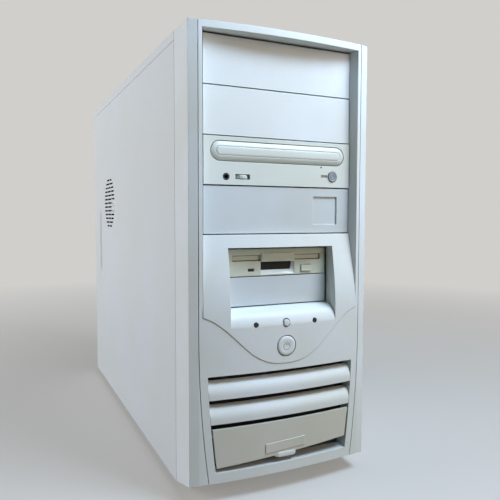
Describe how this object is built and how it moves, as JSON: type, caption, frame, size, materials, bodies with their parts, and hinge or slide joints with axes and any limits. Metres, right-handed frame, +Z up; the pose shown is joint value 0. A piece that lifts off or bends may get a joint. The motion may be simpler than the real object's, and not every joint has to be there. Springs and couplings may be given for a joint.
{
  "type": "desktop computer tower",
  "caption": "Upright desktop computer case with drive bays, a disc drive, a floppy drive, a bowed control panel, louvred intake, port flap and sliding side panels.",
  "frame": {"origin": "on the floor under the middle of the outer box", "axes": "+X right seen from the front, +Y towards the back, +Z up"},
  "size_m": [0.179, 0.4806, 0.4124],
  "materials": {
    "case_plastic": "fine-grained moulded ABS, off-white",
    "recess_plastic": "fine-grained moulded ABS, off-white",
    "painted_steel": "powder-coated sheet steel, off-white",
    "galvanised": "galvanised sheet steel",
    "drive_plastic": "moulded ABS, off-white",
    "aged_plastic": "yellowed moulded ABS",
    "button_plastic": "smooth grey plastic",
    "dark_plastic": "black moulded plastic",
    "lamp": "translucent lamp plastic",
    "rubber_foot": "moulded rubber",
    "circuit_board": "solder-masked glass-fibre board",
    "aluminium_fins": "extruded aluminium",
    "bright_steel": "nickel-plated steel",
    "selector_red": "red plastic"
  },
  "bodies": {
    "case": {"bezel_post_left": "case_plastic", "bezel_post_right": "case_plastic", "front_moulding": "case_plastic", "control_panel": "case_plastic", "front_louvres": "case_plastic", "top_cover": "painted_steel", "chassis_base_pan": "galvanised", "rubber_feet": "rubber_foot", "chassis_front_frame": "galvanised", "chassis_rear_panel": "galvanised", "motherboard_tray": "galvanised", "drive_bay_cage": "galvanised", "small_drive_cage": "galvanised", "plain_bay_covers": "recess_plastic", "badge_bay_cover": "recess_plastic", "small_bay_cover": "aged_plastic", "optical_drive_case": "galvanised", "optical_drive_bezel": "drive_plastic", "drive_busy_leds": "lamp", "headphone_jack": "dark_plastic", "optical_spindle_motor": "bright_steel", "floppy_drive_case": "galvanised", "floppy_drive_bezel": "aged_plastic", "hard_drive": "aluminium_fins", "front_switch_board": "circuit_board", "front_leds": "lamp", "front_port_plate": "dark_plastic", "front_sockets": "bright_steel", "front_port_board": "circuit_board", "power_supply_case": "galvanised", "psu_fan_frame": "dark_plastic", "case_fan_frame": "dark_plastic", "fan_guards": "bright_steel", "mains_inlet": "dark_plastic", "mains_switch_frames": "dark_plastic", "motherboard": "circuit_board", "board_sockets": "dark_plastic", "memory_modules": "circuit_board", "processor_heatsink": "aluminium_fins", "graphics_card": "circuit_board", "expansion_slot_covers": "galvanised", "rear_connector_shield": "galvanised", "rear_connectors": "bright_steel"},
    "left_panel": {"left_side_panel": "painted_steel", "left_panel_thumbscrews": "bright_steel"},
    "right_panel": {"right_side_panel": "painted_steel", "right_panel_thumbscrews": "bright_steel"},
    "port_flap": {"port_door": "case_plastic"},
    "power_key": {"power_button": "case_plastic"},
    "reset_key": {"reset_button": "case_plastic"},
    "disc_tray": {"optical_tray": "dark_plastic", "optical_tray_door": "drive_plastic"},
    "volume_dial": {"volume_wheel": "drive_plastic"},
    "optical_eject": {"optical_eject_button": "button_plastic"},
    "floppy_eject": {"floppy_eject_button": "aged_plastic"},
    "floppy_flap": {"floppy_slot_flap": "aged_plastic"},
    "rocker": {"mains_rocker": "dark_plastic"},
    "selector": {"voltage_selector": "selector_red"},
    "psu_rotor": {"psu_fan_rotor": "dark_plastic"},
    "case_rotor": {"case_fan_rotor": "dark_plastic"}
  },
  "joints": [
    {"name": "left_panel_slide", "type": "slide", "parent": "case", "child": "left_panel", "axis": [0, 1, 0], "range_m": [0, 0.015]},
    {"name": "right_panel_slide", "type": "slide", "parent": "case", "child": "right_panel", "axis": [0, 1, 0], "range_m": [0, 0.015]},
    {"name": "port_door_hinge", "type": "hinge", "parent": "case", "child": "port_flap", "pos_m": [0, -0.2327, 0.06], "axis": [-1, 0, 0], "range_deg": [0, 95]},
    {"name": "power_button_press", "type": "slide", "parent": "case", "child": "power_key", "axis": [0, 1, 0], "range_m": [0, 0.003], "stiffness_N_per_m": 300},
    {"name": "reset_button_press", "type": "slide", "parent": "case", "child": "reset_key", "axis": [0, 1, 0], "range_m": [0, 0.002], "stiffness_N_per_m": 300},
    {"name": "disc_tray_slide", "type": "slide", "parent": "case", "child": "disc_tray", "axis": [0, -1, 0], "range_m": [0, 0.13]},
    {"name": "volume_wheel_turn", "type": "hinge", "parent": "case", "child": "volume_dial", "pos_m": [-0.0375, -0.2204, 0.2842], "axis": [0, 0, 1], "range_deg": [-120, 120]},
    {"name": "optical_eject_press", "type": "slide", "parent": "case", "child": "optical_eject", "axis": [0, 1, 0], "range_m": [0, 0.0012], "stiffness_N_per_m": 300},
    {"name": "floppy_eject_press", "type": "slide", "parent": "case", "child": "floppy_eject", "axis": [0, 1, 0], "range_m": [0, 0.004], "stiffness_N_per_m": 300},
    {"name": "floppy_flap_hinge", "type": "hinge", "parent": "case", "child": "floppy_flap", "pos_m": [0, -0.2192, 0.2136], "axis": [1, 0, 0], "range_deg": [0, 80], "stiffness_Nm_per_rad": 0.002},
    {"name": "mains_rocker_tilt", "type": "hinge", "parent": "case", "child": "rocker", "pos_m": [-0.05, 0.2283, 0.3646], "axis": [0, 0, 1], "range_deg": [-20, 0]},
    {"name": "voltage_selector_slide", "type": "slide", "parent": "case", "child": "selector", "axis": [1, 0, 0], "range_m": [0, 0.006]},
    {"name": "psu_fan_spin", "type": "hinge", "parent": "case", "child": "psu_rotor", "pos_m": [0.028, 0.2194, 0.3686], "axis": [0, 1, 0], "continuous": true},
    {"name": "case_fan_spin", "type": "hinge", "parent": "case", "child": "case_rotor", "pos_m": [-0.032, 0.2203, 0.268], "axis": [0, 1, 0], "continuous": true}
  ]
}
